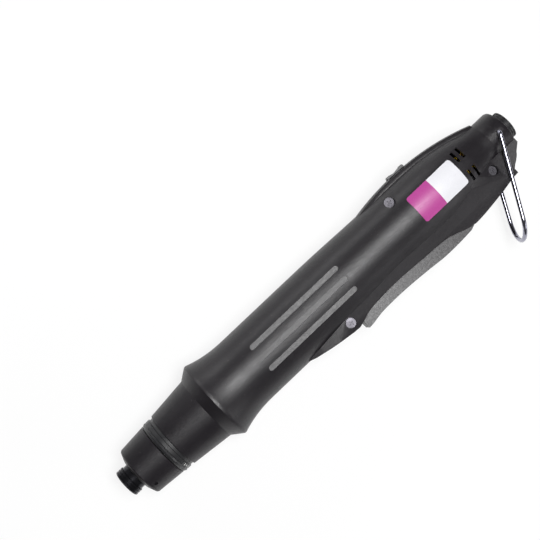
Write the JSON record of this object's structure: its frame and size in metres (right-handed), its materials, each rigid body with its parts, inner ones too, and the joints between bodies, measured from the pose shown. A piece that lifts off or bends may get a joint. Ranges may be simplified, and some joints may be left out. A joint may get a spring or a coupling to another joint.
{
  "type": "electric torque screwdriver",
  "caption": "Inline electric torque screwdriver with lever start, adjustable clutch nut, quick-change hex chuck, rear connector and hanging bail.",
  "frame": {"origin": "on the tool's axis at the mouth plane of the bit socket, x = 0", "axes": "+X along the tool from the bit socket to the power inlet, +Z out of the labelled face of the case, -Y the side of the start lever"},
  "size_m": [0.271, 0.0744, 0.0458],
  "materials": {
    "case_plastic": "fine textured moulded plastic, near black",
    "lever_plastic": "fine textured moulded plastic, near black",
    "knob_plastic": "smooth black plastic",
    "ring_paint": "satin black paint",
    "black_oxide": "black oxide steel, glossy",
    "screw_steel": "black plated steel",
    "bright_steel": "ground steel",
    "bail_chrome": "chrome plated wire",
    "lamp_chrome": "chrome plated bezel",
    "lamp_glass": "clear lens",
    "label_film": "printed film label, bare",
    "inlet_black": "black threaded ring",
    "insert_plastic": "black insulator",
    "contact_gold": "plated contacts",
    "gear_steel": "hardened gear steel",
    "cast_metal": "machined die cast metal",
    "spring_steel": "spring wire",
    "magnet": "sintered magnet",
    "lamination": "stacked laminations",
    "copper_wire": "enamelled copper",
    "board": "green circuit board",
    "component": "black moulded component",
    "capacitor": "sleeved capacitor",
    "wire_yellow": "insulated lead",
    "plunger_red": "red switch plunger"
  },
  "bodies": {
    "housing": {"top_shell": "case_plastic", "bottom_shell": "case_plastic", "front_cover": "case_plastic", "rear_cap": "case_plastic", "case_screws": "screw_steel", "label": "label_film", "lever_pin": "bright_steel", "lever_spring": "spring_steel", "switch_bracket": "bright_steel", "start_switch": "component", "direction_switch": "component", "driver_board": "board", "power_transistors": "component", "filter_capacitor": "capacitor", "motor_leads": "wire_yellow", "supply_wires": "wire_yellow", "connector_shell": "inlet_black", "connector_insert": "insert_plastic", "connector_pins": "contact_gold", "indicator_bezel": "lamp_chrome", "indicator_lens": "lamp_glass", "scale_ring": "ring_paint", "clutch_housing": "cast_metal", "clutch_spring": "spring_steel", "spindle_bearing": "bright_steel", "ring_gear": "gear_steel", "motor_bearings": "bright_steel", "motor_front_bell": "cast_metal", "motor_can": "ring_paint", "motor_rear_bell": "cast_metal", "stator_core": "lamination", "stator_coils": "copper_wire", "hall_board": "board"},
    "lever": {"lever": "lever_plastic"},
    "plunger": {"start_plunger": "plunger_red"},
    "direction_knob": {"direction_knob": "knob_plastic"},
    "bail": {"bail": "bail_chrome"},
    "spring_seat": {"spring_seat": "bright_steel", "push_pins": "bright_steel"},
    "torque_nut": {"torque_nut": "case_plastic", "nut_set_screw": "screw_steel"},
    "spindle": {"bit_holder": "black_oxide", "chuck_balls": "bright_steel", "chuck_ring": "spring_steel", "chuck_spring": "spring_steel", "clutch_balls": "bright_steel", "output_carrier": "gear_steel"},
    "bit_sleeve": {"bit_sleeve": "black_oxide"},
    "clutch_plate": {"clutch_plate": "gear_steel"},
    "output_planet_1": {"output_planet_1": "gear_steel"},
    "output_planet_2": {"output_planet_2": "gear_steel"},
    "output_planet_3": {"output_planet_3": "gear_steel"},
    "input_carrier": {"input_carrier": "gear_steel"},
    "input_planet_1": {"input_planet_1": "gear_steel"},
    "input_planet_2": {"input_planet_2": "gear_steel"},
    "input_planet_3": {"input_planet_3": "gear_steel"},
    "rotor": {"rotor_magnet": "magnet", "motor_shaft": "bright_steel", "motor_pinion": "gear_steel"}
  },
  "joints": [
    {"name": "lever_press", "type": "hinge", "parent": "housing", "child": "lever", "pos_m": [0.216, -0.02, 0], "axis": [0, 0, -1], "range_deg": [0, 3.3], "stiffness_Nm_per_rad": 4, "springref_deg": -2.86, "deforming": ["lever_spring"]},
    {"name": "plunger_slide", "type": "slide", "parent": "housing", "child": "plunger", "axis": [0, 1, 0], "range_m": [0, 0.0031]},
    {"name": "direction_slide", "type": "slide", "parent": "housing", "child": "direction_knob", "axis": [1, 0, 0], "range_m": [-0.0025, 0.0025]},
    {"name": "bail_swing", "type": "hinge", "parent": "housing", "child": "bail", "pos_m": [0.262, 0, 0], "axis": [0, 0, 1], "range_deg": [-10, 250]},
    {"name": "seat_slide", "type": "slide", "parent": "housing", "child": "spring_seat", "axis": [1, 0, 0], "range_m": [-0.0025, 0]},
    {"name": "nut_turn", "type": "hinge", "parent": "spring_seat", "child": "torque_nut", "pos_m": [0.0166, 0, 0], "axis": [1, 0, 0], "range_deg": [0, 720]},
    {"name": "spindle_spin", "type": "hinge", "parent": "housing", "child": "spindle", "pos_m": [0.02, 0, 0], "axis": [1, 0, 0], "continuous": true},
    {"name": "sleeve_slide", "type": "slide", "parent": "spindle", "child": "bit_sleeve", "axis": [1, 0, 0], "range_m": [0, 0.0025], "stiffness_N_per_m": 1500, "springref_m": -0.002, "deforming": ["chuck_spring"]},
    {"name": "clutch_release", "type": "slide", "parent": "spindle", "child": "clutch_plate", "axis": [1, 0, 0], "range_m": [-0.0012, 0], "stiffness_N_per_m": 4000, "springref_m": 0.002, "deforming": ["clutch_spring"]},
    {"name": "output_planet_1_spin", "type": "hinge", "parent": "spindle", "child": "output_planet_1", "pos_m": [0.0445, 0, -0.00743], "axis": [1, 0, 0], "continuous": true},
    {"name": "output_planet_2_spin", "type": "hinge", "parent": "spindle", "child": "output_planet_2", "pos_m": [0.0445, 0.00643, 0.00371], "axis": [1, 0, 0], "continuous": true},
    {"name": "output_planet_3_spin", "type": "hinge", "parent": "spindle", "child": "output_planet_3", "pos_m": [0.0445, -0.00643, 0.00371], "axis": [1, 0, 0], "continuous": true},
    {"name": "input_carrier_spin", "type": "hinge", "parent": "housing", "child": "input_carrier", "pos_m": [0.05, 0, 0], "axis": [1, 0, 0], "continuous": true},
    {"name": "input_planet_1_spin", "type": "hinge", "parent": "input_carrier", "child": "input_planet_1", "pos_m": [0.056, 0, -0.00743], "axis": [1, 0, 0], "continuous": true},
    {"name": "input_planet_2_spin", "type": "hinge", "parent": "input_carrier", "child": "input_planet_2", "pos_m": [0.056, 0.00643, 0.00371], "axis": [1, 0, 0], "continuous": true},
    {"name": "input_planet_3_spin", "type": "hinge", "parent": "input_carrier", "child": "input_planet_3", "pos_m": [0.056, -0.00643, 0.00371], "axis": [1, 0, 0], "continuous": true},
    {"name": "rotor_spin", "type": "hinge", "parent": "housing", "child": "rotor", "pos_m": [0.09, 0, 0], "axis": [1, 0, 0], "continuous": true}
  ],
  "couplings": [
    {"joint": "plunger_slide", "follows": "lever_press", "m_per_rad": 0.052},
    {"joint": "nut_turn", "follows": "seat_slide", "rad_per_m": -5026.5},
    {"joint": "output_planet_1_spin", "follows": "spindle_spin", "ratio": -2.8},
    {"joint": "output_planet_2_spin", "follows": "spindle_spin", "ratio": -2.8},
    {"joint": "output_planet_3_spin", "follows": "spindle_spin", "ratio": -2.8},
    {"joint": "input_carrier_spin", "follows": "spindle_spin", "ratio": 4.5},
    {"joint": "input_planet_1_spin", "follows": "spindle_spin", "ratio": -12.6},
    {"joint": "input_planet_2_spin", "follows": "spindle_spin", "ratio": -12.6},
    {"joint": "input_planet_3_spin", "follows": "spindle_spin", "ratio": -12.6},
    {"joint": "rotor_spin", "follows": "spindle_spin", "ratio": 20.25}
  ]
}
